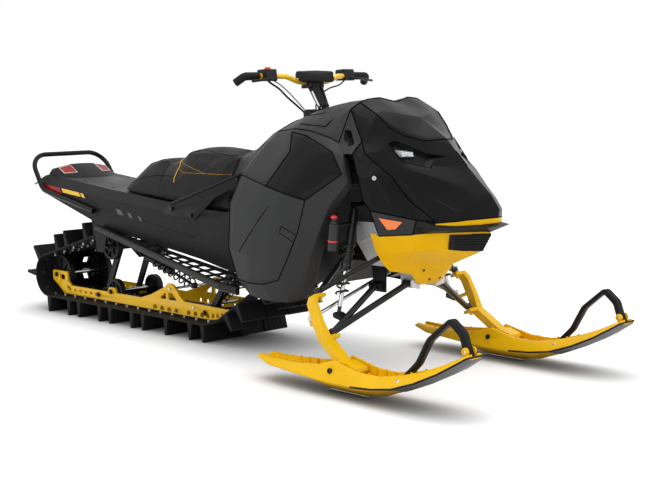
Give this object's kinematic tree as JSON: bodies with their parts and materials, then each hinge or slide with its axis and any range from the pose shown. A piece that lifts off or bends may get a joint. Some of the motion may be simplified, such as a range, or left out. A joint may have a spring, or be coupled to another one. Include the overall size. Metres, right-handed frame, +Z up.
{
  "type": "snowmobile",
  "caption": "Long-track mountain snowmobile with steered skis on A-arms, paddle track on slide rails, narrow tunnel, stepped seat and moulded body panels.",
  "frame": {"origin": "on the ground, at the middle of the machine's length and width", "axes": "+X to the nose, +Y to the rider's left, +Z up"},
  "size_m": [3.1831, 1.1, 1.1995],
  "materials": {
    "arm_black": "satin powder coat",
    "bar_yellow": "gloss powder coat",
    "body_charcoal": "fine-grained moulding",
    "bulkhead_silver": "cast",
    "control_black": "moulded",
    "engine_grey": "cast",
    "frame_black": "satin powder coat",
    "grip_rubber": "moulded",
    "hood_black": "satin moulding",
    "lamp_glass": "clear over reflector",
    "lens_orange": "clear orange",
    "lens_red": "clear red",
    "loop_black": "moulded",
    "pad_black": "padded cover",
    "pan_yellow": "moulded",
    "pod_grey": "moulded",
    "rail_yellow": "gloss powder coat",
    "rubber_black": "matte",
    "seat_cover": "grained vinyl with yellow stitching",
    "shock_black": "satin",
    "ski_yellow": "moulded",
    "spindle_yellow": "gloss powder coat",
    "spring_steel": "bright",
    "steel": "bright",
    "tank_black": "moulded",
    "track_rubber": "matte moulded rubber",
    "trim_black": "moulded",
    "tube_black": "satin powder coat",
    "tunnel_black": "satin",
    "wheel_black": "moulded"
  },
  "bodies": {
    "chassis": {"track": "track_rubber", "slide_rails": "rail_yellow", "track_wheels": "wheel_black", "track_shafts": "steel", "drive_axle": "wheel_black", "front_arm": "frame_black", "rear_arm": "frame_black", "track_shocks": "shock_black", "tunnel": "tunnel_black", "running_boards": "frame_black", "rear_bumper": "tube_black", "snow_flap": "rubber_black", "tail_lamp": "trim_black", "tail_lens": "lens_red", "seat": "seat_cover", "fuel_tank": "tank_black", "console": "body_charcoal", "gauge": "trim_black", "hood": "hood_black", "windshield": "hood_black", "lamp_bezels": "trim_black", "vent_panels": "body_charcoal", "nose_strip": "pan_yellow", "tunnel_braces": "frame_black", "slide_shoes": "wheel_black", "shock_reservoirs": "shock_black", "headlamps": "lamp_glass", "side_panels": "body_charcoal", "access_panels": "hood_black", "lower_doors": "body_charcoal", "cheek_panels": "hood_black", "reflector_pods": "pod_grey", "reflectors": "lens_orange", "belly_pan": "pan_yellow", "grille": "trim_black", "front_bumper": "trim_black", "bulkhead": "bulkhead_silver", "arm_mounts": "frame_black", "upper_frame": "frame_black", "engine": "engine_grey", "lower_arms": "arm_black", "upper_arms": "arm_black", "front_shocks": "shock_black", "front_springs": "spring_steel"},
    "handlebar": {"handlebar": "bar_yellow", "steering_post": "frame_black", "grips": "grip_rubber", "bar_pad": "pad_black", "hand_controls": "control_black"},
    "steering_crank": {"steering_crank": "frame_black"},
    "ski_left": {"spindle_left": "spindle_yellow", "ski_left": "ski_yellow", "ski_loop_left": "loop_black", "ski_runner_left": "steel"},
    "tie_rod_left": {"tie_rod_left": "steel"},
    "ski_right": {"spindle_right": "spindle_yellow", "ski_right": "ski_yellow", "ski_loop_right": "loop_black", "ski_runner_right": "steel"},
    "tie_rod_right": {"tie_rod_right": "steel"}
  },
  "joints": [
    {"name": "handlebar_turn", "type": "hinge", "parent": "chassis", "child": "handlebar", "pos_m": [0.4475, 0, 0.96379], "axis": [-0.5, 0, 0.866], "range_deg": [-35, 35]},
    {"name": "crank_turn", "type": "hinge", "parent": "chassis", "child": "steering_crank", "pos_m": [0.85496, 0, 0.42724], "axis": [-0.454, 0, 0.891], "range_deg": [-28, 28]},
    {"name": "ski_turn_left", "type": "hinge", "parent": "chassis", "child": "ski_left", "pos_m": [0.8495, 0.4, 0.206], "axis": [-0.454, 0, 0.891], "range_deg": [-28, 28]},
    {"name": "tie_rod_pivot_left", "type": "hinge", "parent": "ski_left", "child": "tie_rod_left", "pos_m": [0.75972, 0.42, 0.25004], "axis": [-0.454, 0, 0.891], "range_deg": [-28, 28]},
    {"name": "ski_turn_right", "type": "hinge", "parent": "chassis", "child": "ski_right", "pos_m": [0.8495, -0.4, 0.206], "axis": [-0.454, 0, 0.891], "range_deg": [-28, 28]},
    {"name": "tie_rod_pivot_right", "type": "hinge", "parent": "ski_right", "child": "tie_rod_right", "pos_m": [0.75972, -0.42, 0.25004], "axis": [-0.454, 0, 0.891], "range_deg": [-28, 28]}
  ],
  "couplings": [
    {"joint": "crank_turn", "follows": "handlebar_turn", "ratio": 0.8},
    {"joint": "ski_turn_left", "follows": "handlebar_turn", "ratio": 0.8},
    {"joint": "tie_rod_pivot_left", "follows": "handlebar_turn", "ratio": -0.8},
    {"joint": "ski_turn_right", "follows": "handlebar_turn", "ratio": 0.8},
    {"joint": "tie_rod_pivot_right", "follows": "handlebar_turn", "ratio": -0.8}
  ]
}
